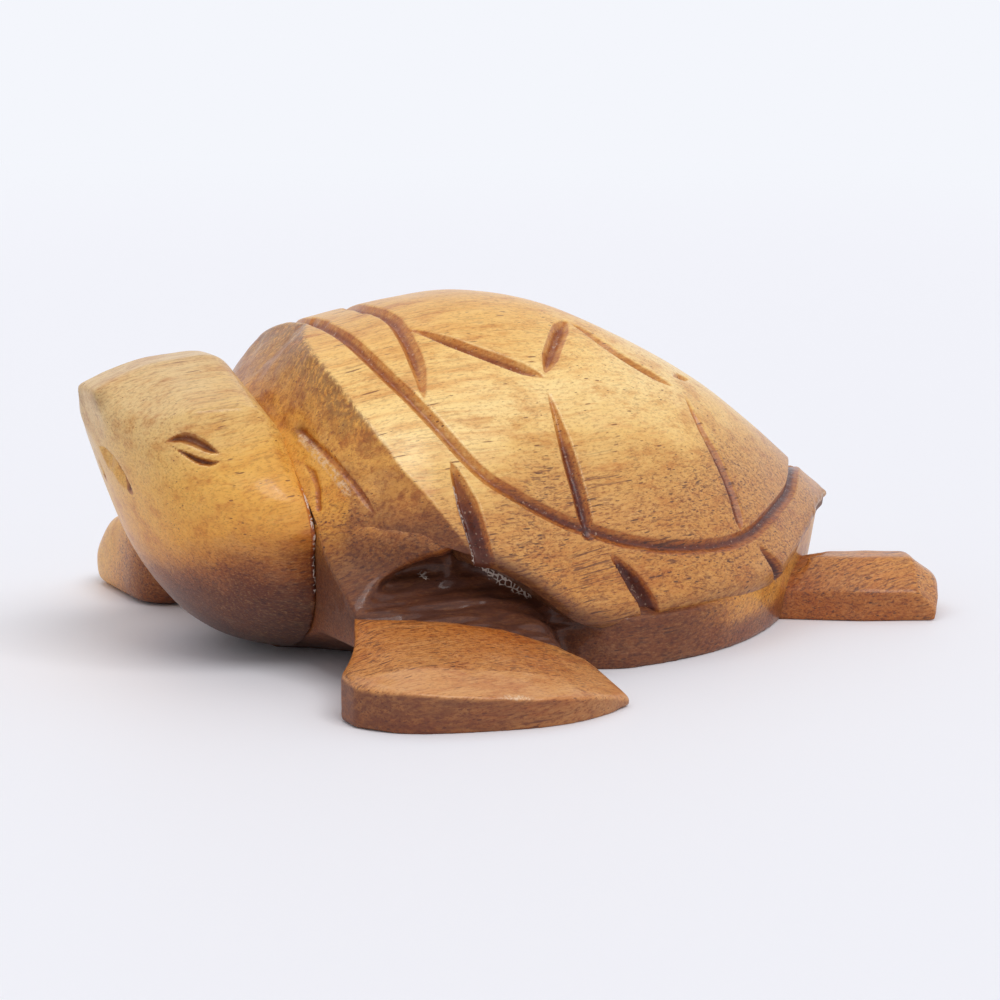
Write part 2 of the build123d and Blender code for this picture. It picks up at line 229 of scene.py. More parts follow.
def arch(x, y):
    """Height of the uncut shell."""
    crown, rim, half = shell_sizes((x - shell_start) / shell_length)
    return crown - (crown - (rim - rim_skirt)) * np.abs(y / half) ** shell_roundness


def cone(x, y):
    """Height of the cone that the front of the shell is cut to."""
    growth = (x - shell_start) / collar_length
    crown = collar_height + collar_rise * growth
    half = collar_half_width + collar_spread * growth
    return crown - (crown - collar_foot) * np.abs(y / half) ** (collar_roundness + collar_squareness * growth)


def collar_top(x, y):
    """Height of the collar: the model's cone, a little fuller at its sides, so that its crease is straight."""
    height = cone(x, y)
    full = look_up(np.abs(y), collar_fullness) * ramp((x - shell_start) / collar_length, 0.12, 0.36)
    full *= 0.25 + 0.75 * ramp(y, 3.0, -3.0)
    return height + full * ramp(height - rim_height(x), 0.0, 4.0)


def rim_height(x):
    return shell_height * curve((x - shell_start) / shell_length, shell_place_shares, rim_shares)


def shell_point(place, side):
    """Point on the uncut shell, at shares of its length and of the half width on the left."""
    place, side = np.asarray(place, float), np.asarray(side, float)
    crown, rim, half = shell_sizes(place)
    z = crown - (crown - rim) * np.abs(side) ** shell_roundness
    return np.stack([shell_x(place), -half * side, z], -1)


# Meshes

def add_object(name, data):
    added = bpy.data.objects.new(name, data)
    bpy.context.scene.collection.objects.link(added)
    return added


def make_object(name, points, faces):
    mesh = bpy.data.meshes.new(name)
    mesh.from_pydata(np.asarray(points, float).tolist(), [], faces)
    mesh.validate()
    return add_object(name, mesh)


def read(items, key, width, kind=np.float32):
    """Rows of numbers from a mesh's vertices, normals or edges."""
    flat = np.empty(len(items) * width, kind)
    items.foreach_get(key, flat)
    return flat.reshape(-1, width)


def positions(piece):
    return read(piece.data.vertices, "co", 3).astype(float)


def normals(piece):
    return read(piece.data.vertex_normals, "vector", 3).astype(float)


def edge_pairs(piece):
    return read(piece.data.edges, "vertices", 2, np.int32)


def set_positions(piece, points):
    piece.data.vertices.foreach_set("co", points.astype(np.float32).ravel())
    piece.data.update()


def remesh(piece, size):
    """Gives a closed piece, in millimetres, an even mesh of the given size."""
    modifier = piece.modifiers.new("remesh", "REMESH")
    modifier.mode = "VOXEL"
    modifier.voxel_size = size
    modifier.use_smooth_shade = True
    graph = bpy.context.evaluated_depsgraph_get()
    mesh = bpy.data.meshes.new_from_object(piece.evaluated_get(graph))
    piece.modifiers.clear()
    piece.data = mesh


def smooth(points, edges, rounds, weight=None):
    """Moves each point towards the middle of its neighbours; weight limits where."""
    count = np.bincount(edges.ravel(), minlength=len(points))[:, None]
    for _ in range(rounds):
        total = np.stack([
            np.bincount(edges[:, 0], points[edges[:, 1], k], len(points))
            + np.bincount(edges[:, 1], points[edges[:, 0], k], len(points)) for k in range(3)], -1)
        moved = 0.5 * (total / count - points)
        points = points + (moved if weight is None else moved * weight[:, None])
    return points


def cad_copy(name, node):
    """New piece in millimetres with a CAD node's shape."""
    piece = add_object(name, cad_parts[node].data.copy())
    piece.data.materials.clear()
    set_positions(piece, positions(piece) / MM)
    weld = piece.modifiers.new("weld", "WELD")
    weld.merge_threshold = 0.002
    return piece


def along_path(points, path, widest, up=(0.0, 0.0, 1.0)):
    """Distance of each point from a path, the length along it there and the side of it that the point is on."""
    best = np.full(len(points), 1e9)
    length = np.zeros(len(points))
    side = np.zeros(len(points))
    low, high = path.min(0) - widest, path.max(0) + widest
    near = np.nonzero(((points > low) & (points < high)).all(1))[0]
    p = points[near]
    done = 0.0
    for a, b in zip(path[:-1], path[1:]):
        ab = b - a
        span = np.linalg.norm(ab)
        t = np.clip((p - a) @ ab / span ** 2, 0, 1)
        offset = p - a - t[:, None] * ab
        d = np.linalg.norm(offset, axis=1)
        closer = d < best[near]
        index = near[closer]
        best[index] = d[closer]
        length[index] = done + t[closer] * span
        side[index] = np.sign(offset[closer] @ np.cross(ab, up))
        done += span
    return best, length, side, done


def v_cut(points, path, left, right, depth, start_fade, end_fade, up=(0.0, 0.0, 1.0)):
    """Depth of a knife cut along a path: its two flanks may differ, and it runs out at its ends."""
    distance, length, side, total = along_path(points, path, max(left, right), up)
    size = np.ones(len(points))
    if start_fade:
        size = np.minimum(size, np.clip(length / start_fade, 0, 1) ** 0.6)
    if end_fade:
        size = np.minimum(size, np.clip((total - length) / end_fade, 0, 1) ** 0.6)
    half = np.where(side > 0, left, right) * np.maximum(size, 1e-3)
    return depth * size * np.clip(1 - distance / half, 0, 1)


def shell_path(places, steps=6):
    """Even points on the shell along a smooth line through (place, side) pairs."""
    places = np.array(places, float)
    at = np.arange(len(places))
    fine = np.linspace(0, len(places) - 1, (len(places) - 1) * steps + 1)
    return shell_point(curve(fine, at, places[:, 0]), curve(fine, at, places[:, 1]))


def path_spot(points, path, radius):
    """Soft band along a path, 1 on it and 0 beyond the radius."""
    path = np.array(path, float)
    return ramp(along_path(points, path, radius)[0], radius, 0.0)


def mirror_left(points):
    """The same points, all on the animal's left."""
    return np.stack([points[:, 0], -np.abs(points[:, 1]), points[:, 2]], -1)


mark_names = ("cut", "collar", "stain", "foam", "pale", "shift", "amber", "fray")


def finish_piece(piece, node, slot, **marks):
    """Puts a piece in metres, smooths its shading, gives it the slot's material, ties it to the root body and hides
    the node's CAD part.

    The marks are what the wood's material reads at each vertex: amounts from 0 to 1, and for shift from -1 to 1.
    """
    points = positions(piece)
    set_positions(piece, points * MM)
    piece.data.shade_smooth()
    for name in mark_names:
        values = np.broadcast_to(np.clip(marks.get(name, 0.0), -1, 1), len(points))
        attribute = piece.data.attributes.new(name, "FLOAT", "POINT")
        attribute.data.foreach_set("value", values.astype(np.float32))
    piece.data.materials.clear()
    piece.data.materials.append(materials[slot])
    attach(piece, "root")
    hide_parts(node)


# Carapace: a fine grid over the top of the shell, closed below

# Cuts of the left side, also made on the right: (place, side) points, widths of the two flanks, depth, and the
# lengths over which the ends run out
groove_lines = (
    (((0.136, -0.06), (0.132, 0.10), (0.140, 0.32), (0.154, 0.49), (0.180, 0.625), (0.210, 0.735), (0.244, 0.81),
      (0.288, 0.84), (0.354, 0.85), (0.398, 0.86), (0.466, 0.885), (0.542, 0.893), (0.632, 0.884), (0.712, 0.84),
      (0.806, 0.73), (0.852, 0.62), (0.893, 0.43), (0.922, 0.20), (0.932, -0.06)), 1.1, 1.0, 1.0, 0, 0),
    (((0.203, -0.08), (0.208, 0.08), (0.214, 0.22), (0.210, 0.36), (0.204, 0.50), (0.192, 0.64)), 0.9, 1.3, 0.9, 0, 6),
    (((0.222, 0.31), (0.256, 0.39), (0.294, 0.457), (0.338, 0.505), (0.392, 0.54)), 0.8, 1.1, 1.1, 5, 3),
    (((0.392, 0.53), (0.43, 0.425), (0.484, 0.26)), 1.0, 1.3, 1.0, 3, 3),
    (((0.488, 0.27), (0.522, 0.344), (0.562, 0.404), (0.630, 0.445)), 0.9, 0.9, 0.8, 4, 3),
    (((0.645, 0.37), (0.690, 0.30)), 0.8, 0.8, 0.7, 2, 2),
    (((0.386, 0.56), (0.388, 0.70), (0.390, 0.865)), 1.0, 1.1, 1.1, 9, 0),
    (((0.642, 0.46), (0.644, 0.58), (0.656, 0.68), (0.664, 0.77), (0.664, 0.87)), 0.9, 0.9, 0.9, 8, 2),
    (((0.950, 0.0), (1.02, 0.0)), 1.2, 1.2, 1.0, 3, 0),
)
notch_lines = (
    (((0.200, 0.78), (0.207, 0.90), (0.216, 1.08)), 1.2, 1.7, 2.1, 6, 0),
    (((0.415, 0.89), (0.452, 0.96), (0.492, 1.05)), 1.1, 1.5, 2.0, 5, 0),
    (((0.690, 0.88), (0.730, 0.95), (0.772, 1.02)), 1.0, 1.3, 1.6, 4, 0),
)
# On the collar's left side: two scratches, the strip of chips between them, and (height, x) of the amber's end
neck_groove = ((-31.0, -14.6, 23.4), (-30.2, -16.0, 22.2), (-30.1, -17.0, 20.6), (-30.4, -17.9, 18.6))
chipped_strip = ((-30.4, -13.2, 25.7), (-29.4, -15.4, 23.9), (-28.3, -17.6, 21.9), (-27.6, -19.4, 20.2))
collar_line = (
    (-30.3, -12.2, 26.6), (-29.3, -14.4, 25.0), (-27.9, -17.0, 23.0), (-26.6, -19.5, 20.6), (-25.4, -21.8, 17.9))
amber_line = ((15.0, -28.5), (17.9, -28.0), (20.2, -27.7), (21.9, -28.3), (23.9, -29.4), (25.7, -30.4), (27.1, -32.3))


def top_height(x, y):
    """Shell cut to the collar's cone, with the crease a little rounded."""
    shell, collar = arch(x, y), collar_top(x, y)
    gap = np.clip(0.5 + 0.5 * (shell - collar) / crease_radius, 0, 1)
    return shell + (collar - shell) * gap - crease_radius * gap * (1 - gap)


def edge_table(lift=0.0):
    """Half width of the carapace at the given height over its rim, at even places."""
    x = np.linspace(shell_start, shell_x(1.0), 400)
    low, high = np.zeros_like(x), np.full_like(x, shell_half_width * 1.05)
    for _ in range(30):
        middle = (low + high) / 2
        inside = top_height(x, middle) > rim_height(x) + lift
        low, high = np.where(inside, middle, low), np.where(inside, high, middle)
    return x, low * look_up(x, rear_trim)


def edge_height(x, edge):
    """Height of the rim, higher than in the model where the rear of the shell is trimmed."""
    return np.where(x > rear_trim[0][0], np.maximum(top_height(x, edge), rim_height(x)), rim_height(x))


def carapace_grid():
    """Rows from the neck plane to the tip, columns from the right rim over the ridge to the left rim."""
    rows, columns = 420, 521
    tip = shell_x(1.0)
    fine = np.sin(np.linspace(-1, 1, 901) * math.pi / 2)
    edge_x, edge = edge_table()
    grid = np.empty((rows, columns, 3))
    for i, t in enumerate(np.linspace(0, 1, rows)):
        z = np.full(fine.shape, 30.0)
        for _ in range(4):
            x = (neck_x - z * neck_slope) * (1 - t) + tip * t
            y = fine * np.interp(x, edge_x, edge)
            z = top_height(x, y)
        length = distance_along(np.stack([y, z], -1))
        even = np.linspace(0, length[-1], columns)
        grid[i] = np.stack([np.interp(even, length, a) for a in (x, y, z)], -1)
    return grid


def grid_normals(grid):
    across = np.gradient(grid, axis=1)
    along = np.gradient(grid, axis=0)
    n = np.cross(along, across)
    return n / np.linalg.norm(n, axis=-1, keepdims=True)


def on_collar(points):
    """Points pressed flat along the way that the left side of the collar faces, to measure distances over it."""
    points = np.array(points, float)
    return points - 0.9 * (points @ collar_normal)[:, None] * collar_normal


def make_carapace():
    grid = carapace_grid()
    rows, columns = grid.shape[:2]
    outward = grid_normals(grid).reshape(-1, 3)
    points = grid.reshape(-1, 3)
    x = points[:, 0]
    right_to_left = points * (1, -1, 1)

    def both_sides(places, *sizes):
        path = shell_path(places)
        return np.maximum(v_cut(points, path, *sizes), v_cut(right_to_left, path, *sizes))

    notch = np.maximum.reduce([both_sides(*line) for line in notch_lines])
    gap = arch(x, points[:, 1]) - collar_top(x, points[:, 1])
    collar = ramp(gap, -0.1, 0.3)
    pressed = on_collar(points)
    chips = path_spot(pressed, on_collar(chipped_strip), 0.75)
    cut = np.maximum.reduce([notch] + [both_sides(*line) for line in groove_lines] + [
        v_cut(pressed, on_collar(neck_groove), 0.4, 0.4, 0.4, 2.0, 0),
        v_cut(pressed, on_collar(collar_line), 0.45, 0.45, 0.45, 1.0, 2.0)])

    # the rim is rounded where it stands over the body, and sharp where body and collar are one face
    across = np.linalg.norm(np.diff(grid, axis=1), axis=2)
    reach = np.concatenate([np.zeros((rows, 1)), np.cumsum(across, axis=1)], axis=1)
    to_rim = np.minimum(reach, reach[:, -1:] - reach).reshape(-1)
    over = ramp(x, -19.0, -15.0)
    radius = look_up(x, rim_radii)
    past = np.clip(radius - to_rim, 0, radius)
    rounding = over * (radius - np.sqrt(radius ** 2 - past ** 2)) + (1 - over) * rim_sink * ramp(to_rim, 1.6, 0.0)
    torn_edge = ramp(x, 32.0, 36.0) * ramp(to_rim, 2.2, 0.0) * (points[:, 1] < 0)

    uneven = unevenness(points, (0.10, 9.0, 1), (0.05, 4.0, 2))
    uneven += collar * unevenness(points, (0.12, 3.0, 3), (0.06, 1.3, 4))
    uneven *= ramp(to_rim, 0.0, 3.0) * (1 - over) + over
    rough = 0.07 * noise(points, 0.6, 5) * np.clip(cut, 0, 1) + 0.15 * noise(points, 0.7, 6) * chips
    rough += 0.45 * noise(points, 1.3, 7) * torn_edge
    left = mirror_left(points)
    # painted glints along the lower part of the front notch
    notch_glints = 1.6 * path_spot(left, shell_path(notch_lines[0][0])[4:] + (-0.5, 0, 0), 0.9)
    points = points + outward * (uneven + rough - cut - rounding)[:, None]

    grid = points.reshape(grid.shape)
    index = np.arange(rows * columns).reshape(rows, columns)
    quads = np.stack([index[:-1, :-1], index[1:, :-1], index[1:, 1:], index[:-1, 1:]], -1).reshape(-1, 4)
    # underside: rim, strip of points inside it and flat quads between them, with points of its own
    rim = grid[:, [0, -1]]
    inner = rim.copy()
    inner[:, :, 1] *= 0.8
    inner[:, :, 2] = np.minimum(rim_height(inner[:, :, 0]), rim[:, :, 2])
    under_points = np.concatenate([rim[:, 0], inner[:, 0], inner[:, 1], rim[:, 1]])
    strips = rows * columns + np.arange(4 * rows).reshape(4, rows)
    under = [np.stack([b[:-1], b[1:], a[1:], a[:-1]], -1) for a, b in zip(strips[:-1], strips[1:])]
    ends = np.concatenate([grid[0], grid[-1]])
    first_end = rows * columns + 4 * rows + np.arange(columns)
    faces = np.concatenate([quads] + under).tolist()
    faces.append(strips[1:3, 0].tolist() + first_end[::-1].tolist())
    faces.append(strips[2:0:-1, -1].tolist() + (first_end + columns).tolist())
    piece = make_object("carapace_carved", np.concatenate([points, under_points, ends]), faces)

    def padded(values, below=0.0):
        return np.concatenate([values, np.full(len(under_points) + len(ends), below)])

    z = grid[..., 2].reshape(-1)
    # painted shade along the rim's edge where it stands over the pocket
    rim_shade = ramp(to_rim, 3.0, 0.0) * ramp(x, -21.0, -18.0) * (0.35 + 0.65 * ramp(x, 4.0, -6.0))
    notch_stain = np.clip(notch / 1.5, 0, 1) * (0.15 + 0.35 * ramp(z, 20.0, 12.0))
    shade = collar * ramp(z, 21.0, 15.5) * ramp(x, -31.0, -24.0)
    corner = blob(left, (-30.6, -12.6, 26.7), (1.5, 1.6, 1.5))
    torn = ramp(to_rim, 1.0, 0.2) * ramp(x, 34.0, 37.0) * (points[:, 1] < 0)
    # darkening: stain in the notches, a dark corner by the head, and painted shade along the rim, low on the collar's
    # front and all over the underside
    finish_piece(
        piece, "carapace", "shell_wood",
        cut=padded(cut / 0.8), collar=padded(collar), foam=padded(notch_glints), pale=padded(np.maximum(chips, torn)),
        stain=padded(np.maximum.reduce([notch_stain, 0.9 * rim_shade, 0.8 * corner, 0.6 * shade]), 0.85),
        amber=padded(ramp(x - look_up(z, amber_line), 0.3, -0.4) * ramp(z, 15.5, 18.0) * collar),
        fray=padded(0.8 * ramp(gap, 4.5, 0.6) * ramp(gap, -0.5, 0.0) * ramp(z, 23.0, 29.0)))


# Head

def head_sections(rows, half_columns):
    """Closed outlines from the snout to the neck plane."""
    def profile(shares, end_share):
        end = head_height * end_share
        return np.array([(neck_x - head_reach * a, head_height * z) for a, z in shares] + [
            (neck_x - end * neck_slope, end)])

    tops, bottoms = profile(head_top_shares, neck_top_share), profile(head_bottom_shares, neck_bottom_share)
    table = np.column_stack([
        tops, bottoms, head_crown_shares, head_bevel_shares, head_cheek_shares, head_throat_shares,
        bevel_level_shares])
    place = distance_along((tops + bottoms) / 2)
    fine = natural_spline(place, table, np.linspace(0, place[-1], rows))
    grid = np.empty((rows, 2 * half_columns, 3))
    for i, (tx, tz, bx, bz, crown, bevel, cheek, throat, level) in enumerate(fine):
        depth = math.hypot(tx - bx, tz - bz)
        keys = np.array([(bevel, level), (cheek, cheek_level_share), (throat, throat_level_share), (0, 1)])
        keys = np.concatenate([keys, keys[-2::-1] * (-1, 1)]) * (head_half_width, depth)
        reach = distance_along(keys)
        belly = natural_spline(reach, keys, np.linspace(0, reach[-1] / 2, 400))
        outline = np.concatenate([[(0, 0), (crown * head_half_width, 0)], belly])
        run = distance_along(outline)
        even = np.linspace(0, run[-1], half_columns + 1)
        side, down = np.interp(even, run, outline[:, 0]), np.interp(even, run, outline[:, 1])
        side = np.concatenate([side, -side[-2:0:-1]])
        down = np.concatenate([down, down[-2:0:-1]]) / depth
        grid[i] = np.stack([tx + (bx - tx) * down, -side, tz + (bz - tz) * down], -1)
    return grid


def closed_tube(name, grid):
    """Closed mesh from rows of closed outlines."""
    rows, columns = grid.shape[:2]
    index = np.arange(rows * columns).reshape(rows, columns)
    turned = np.roll(index, -1, axis=1)
    quads = np.stack([index[:-1], index[1:], turned[1:], turned[:-1]], -1).reshape(-1, 4).tolist()
    quads.append(index[0].tolist())
    quads.append(index[-1, ::-1].tolist())
    return make_object(name, grid.reshape(-1, 3), quads)


def make_head():
    piece = closed_tube("head_carved", head_sections(150, 120))
    remesh(piece, head_mesh)
    edges = edge_pairs(piece)
    points = smooth(positions(piece), edges, 5)
    points = smooth(points, edges, 18, ramp(positions(piece)[:, 0], -46.5, -48.5))
    # beside the neck the cheek widens to the outline of the collar, so that one runs into the other
    x, y, z = points.T
    behind = neck_x - z * neck_slope - x
    flare = ramp(behind, 10.0, 0.0) * ramp(z, 22.5, 19.0) * ramp(z, 12.5, 16.5)
    y += np.sign(y) * cheek_flare * flare * ramp(np.abs(y), 8.0, 13.0)
    set_positions(piece, points)

    p = mirror_left(points)
    far_side = 1 - ramp(y, 0.0, 0.6) * ramp(y, 5.5, 3.0)
    eye, mouth = eye_depth(p), mouth_depth(p) * far_side
    dark_eye = np.clip(eye / 0.5, 0, 1)
    dark_mouth = path_spot(p, np.array(mouth_path[2:]) + (-0.3, 0.45, 0.0), 0.95) * far_side
    bruise = blob(p, (-48.9, -2.6, 29.6), (1.6, 2.2, 1.8))
    # along the seam with the collar: a dark cut line and painted glints
    seam = ramp(behind, 0.7, 0.25) * ramp(z, 8.0, 10.0) * ramp(z, 22.0, 19.5)
    uneven = unevenness(points, (0.10, 7.0, 11), (0.04, 3.0, 12))
    set_positions(piece, points + normals(piece) * (uneven - np.maximum(eye, mouth))[:, None])
    finish_piece(
        piece, "head_and_neck", "head_wood", cut=np.maximum.reduce([dark_eye, dark_mouth, 0.6 * seam]),
        foam=0.55 * seam, stain=np.maximum.reduce([0.6 * dark_eye, 0.95 * dark_mouth, 0.5 * bruise]))


def crescent(p, upper, lower, depth):
    """Cut between two curves over the cheek, seen from the side: deepest along its middle."""
    x = p[:, 0]
    top = curve(x, *zip(*upper))
    bottom = curve(x, *zip(*lower))
    inside = (x > upper[0][0]) & (x < upper[-1][0]) & (p[:, 2] < top) & (p[:, 2] > bottom)
    half = np.maximum((top - bottom) / 2, 1e-3)
    offset = np.abs(p[:, 2] - (top + bottom) / 2) / half
    return np.where(inside, depth * np.minimum(half / 0.35, 1) * (1 - offset), 0)


def eye_depth(p):
    upper = crescent(p, ((-45.2, 25.9), (-44.0, 26.75), (-42.9, 27.05), (-41.4, 26.3), (-40.0, 24.8)),
                     ((-45.2, 25.9), (-44.0, 25.95), (-42.9, 25.6), (-41.4, 24.9), (-40.0, 24.7)), 0.7)
    lower = crescent(p, ((-44.4, 25.4), (-43.4, 25.05), (-42.4, 24.6), (-41.2, 24.2), (-40.0, 23.9)),
                     ((-44.4, 25.35), (-43.4, 24.5), (-42.4, 23.75), (-41.2, 23.45), (-40.0, 23.8)), 0.8)
    return np.maximum(upper, lower)


mouth_path = ((-48.2, 0.5, 23.6), (-48.0, -1.4, 23.4), (-47.7, -2.5, 22.9), (-47.1, -3.3, 21.5), (-46.3, -4.3, 19.8))


def mouth_depth(p):
    return v_cut(p, np.array(mouth_path), 2.4, 0.8, 1.1, 1.0, 2.0, up=(-1.0, -0.3, 0.0))


# Lower body, from the model's own solid

def body_width(x, z):
    """Half width of the lower body."""
    floor, flare = (np.array(shares) * (body_length, body_half_width) + (shell_start, 0)
                    for shares in (body_floor_shares, body_flare_shares))
    low, high = (curve(np.clip(x, outline[0, 0], outline[-1, 0]), outline[:, 0], outline[:, 1])
                 for outline in (floor, flare))
    return low + (high - low) * z / body_flare_height


def joint_at(x):
    """How far out and how high the front flipper's top meets the body, along its length."""
    place, out, up = zip(*flipper_joint)
    return np.interp(x, place, out), np.interp(x, place, up)


def pocket_top(x):
    return 9.6 + 0.49 * (x + 29.6)


def make_body():
    piece = cad_copy("body_carved", "plastron")
    remesh(piece, 0.3)
    points = positions(piece)
    edge_x, edge = edge_table()
    edge_above = edge_table(body_lap)[1]

    # beside the collar the body's skin runs on just under the shell's, and the top stands a little into the shell
    x, y, z = points.T
    rim = rim_height(x)
    shell_y = np.interp(x, edge_x, edge)
    front = ramp(x, -15.5, -18.5)
    flush = front * ramp(z, rim - 7.0, rim)
    y = y * (1 + flush * ((shell_y - 0.04) / body_width(x, z) - 1))
    raised = ramp(z, rim - 0.8, rim - 0.1)
    outer = ramp(shell_y - np.abs(y), 2.0, 0.0)
    y = y * (1 - front * raised * outer * (1 - np.interp(x, edge_x, edge_above) / shell_y))
    z = z + body_lap * raised * np.maximum(front, 1 - ramp(shell_y - np.abs(y), 2.0, 0.6))
    # under the trimmed rear of the shell the side runs up to the rim and stays inside it
    rise = edge_height(x, shell_y) - rim
    behind = ramp(x, 6.0, 20.0)
    z = z + behind * rise * np.clip(z / rim, 0, 1) ** 2
    tuck = behind * ramp(z, 0.0, rim + rise) * np.clip(np.abs(y) - (shell_y - 0.5), 0, None)
    y = np.sign(y) * (np.abs(y) - tuck)

    # the pocket that the knife left between shoulder and rim, and the foot that it runs out on over the flipper
    joint_y, joint_z = joint_at(x)
    pocket = ramp(pocket_top(x) - z, -0.4, 1.6) * ramp(x, -30.0, -23.0) * ramp(x, 2.0, -9.0)
    y = np.sign(y) * (np.abs(y) - pocket_depth * pocket * ramp(np.abs(y), 17.0, 22.0))
    foot = np.clip(1 - (z - joint_z) / pocket_foot, 0, 1) ** 1.6 * ramp(x, -32.5, -30.0) * ramp(x, -5.0, -10.0)
    foot = np.minimum(foot, 1) * (np.abs(y) > 15) * (z < joint_z + pocket_foot)
    y = np.sign(y) * (np.abs(y) + foot * np.clip(joint_y - np.abs(y), 0, None) * ramp(z, -0.5, 0.5))
    set_positions(piece, np.stack([x, y, z], -1))
    remesh(piece, body_mesh)
    points = smooth(positions(piece), edge_pairs(piece), 3)
    set_positions(piece, points)

    p = mirror_left(points)
    x, y, z = p.T
    joint_y, joint_z = joint_at(x)
    rim = rim_height(x)
    pocket = ramp(pocket_top(x) - z, -0.2, 0.6) * ramp(x, -30.5, -27.0) * ramp(x, 4.0, -7.0)
    pocket *= ramp(z - joint_z, -1.5, 0.2)
    ridges = 0.30 * noise(np.stack([x * 0.14, y, z], -1), 0.8, 24) * pocket
    uneven = unevenness(points, (0.12, 6.0, 21), (0.06, 2.4, 22)) + 0.08 * pocket * noise(points, 1.2, 23)
    at_rim = ramp(z, rim - 3, rim)
    above = ramp(z, 0.3, 1.5) * (1 - ramp(x, -15, -18) * at_rim) * (1 - 0.8 * ramp(x, 6, 12) * at_rim)
    set_positions(piece, points + normals(piece) * (uneven * above + ridges)[:, None])

    # darkening, painted shade with some of the belly's stain: in the pocket, on the side under the rim, between throat
    # and shoulder, low at the front and along the flipper's joint; the shoulder is darker too
    band = ramp(x, 8.0, -6.0) * ramp(x, -19.0, -15.0)
    neck = blob(p, (-30.8, -17.5, 10.0), (2.2, 4.0, 5.0))
    shoulder = ramp(z, 18.0, 12.5) * ramp(x, -12.0, -18.0) * ramp(z, 4.0, 8.0)
    below = ramp(z, 5.0, 1.0) * ramp(x, -12.0, -20.0)
    lip = ramp(np.hypot(np.abs(y) - joint_y, z - joint_z), 1.6, 0.5) * ramp(x, -7, -10)
    low_side = 0.45 * ramp(x, 18.0, 6.0) * ramp(x, -10.0, 0.0)
    golden = ramp(z, 0.2, 4.0) * ramp(x, 4.0, 20.0)
    stains = [0.95 * pocket, 0.6 * band, 0.75 * neck, 0.7 * below, 0.6 * shoulder, 0.9 * lip, low_side]
    flat = p * (1.0, 0.15, 1.0)
    finish_piece(
        piece, "plastron", "body_wood", stain=np.maximum.reduce(stains),
        # painted glints: pale specks in and over the pocket
        foam=np.maximum(path_spot(flat, ((-14.8, -3.8, 13.2), (-12.6, -3.8, 11.4), (-9.0, -3.9, 8.8)), 1.5),
                        0.8 * blob(p, (-20.3, -24.0, 11.4), (1.2, 8.0, 0.9))),
        collar=ramp(x, -15.0, -18.0) * ramp(z, rim - 7.0, rim), shift=0.6 * golden,
        amber=np.maximum(ramp(x, -27.5, -30.0) * ramp(z, 11.0, 15.5), 0.8 * golden))


# Front flippers, from the sections of the model's source

def paddle_grid(edges, ridges, roots):
    """Closed outlines of a front flipper from its fore end to its point, with smooth outlines between the sections."""
    table = np.array([np.concatenate([edge, ridge, root]) for edge, ridge, root in zip(edges, ridges, roots)])
    rows, columns = 180, 120
    share = np.linspace(0, 1, rows)
    fine = natural_spline(paddle_place_shares, table * ((paddle_reach, paddle_thickness) * 3), share)
    grid = np.empty((rows, columns, 3))
    for i, (outer, outer_z, middle, middle_z, inner, inner_z) in enumerate(fine):
        hidden = max(inner, min(paddle_inside, middle - 0.5))
        inner_z += (middle_z - inner_z) * (hidden - inner) / (middle - inner)
        corners = np.array([
            (outer, 0), (outer, outer_z), (middle, middle_z), (hidden, inner_z), (hidden, 0), (outer, 0)])
        reach = distance_along(corners)
        even = np.linspace(0, reach[-1], columns + 1)[:-1]
        grid[i, :, 0] = paddle_start + paddle_length * share[i]
        grid[i, :, 1] = -np.interp(even, reach, corners[:, 0])
        grid[i, :, 2] = np.interp(even, reach, corners[:, 1])
    return grid


def round_off(piece, mesh_size, rounds, more_rounds, where):
    """Even mesh with its edges rounded, more so where the weight says, and still flat on the floor."""
    remesh(piece, mesh_size)
    edges = edge_pairs(piece)
    points = smooth(positions(piece), edges, rounds)
    points = smooth(points, edges, more_rounds, where(points))
    points[:, 2] -= points[:, 2].min()
    set_positions(piece, points)


def wood_surface(piece, seed):
    """Small unevenness from knife and sanding, none of it on the floor."""
    points = positions(piece)
    uneven = unevenness(points, (0.10, 5.0, seed), (0.05, 2.0, seed + 1))
    points = points + normals(piece) * (uneven * ramp(points[:, 2], 0.3, 1.5))[:, None]
    set_positions(piece, points)
    return points


def paddle_line(shares, x):
    """How far out a line of the left front flipper lies."""
    share = np.clip((x - paddle_start) / paddle_length, 0, 1)
    return natural_spline(paddle_place_shares, paddle_reach * np.array(shares)[:, :1], share)[:, 0]


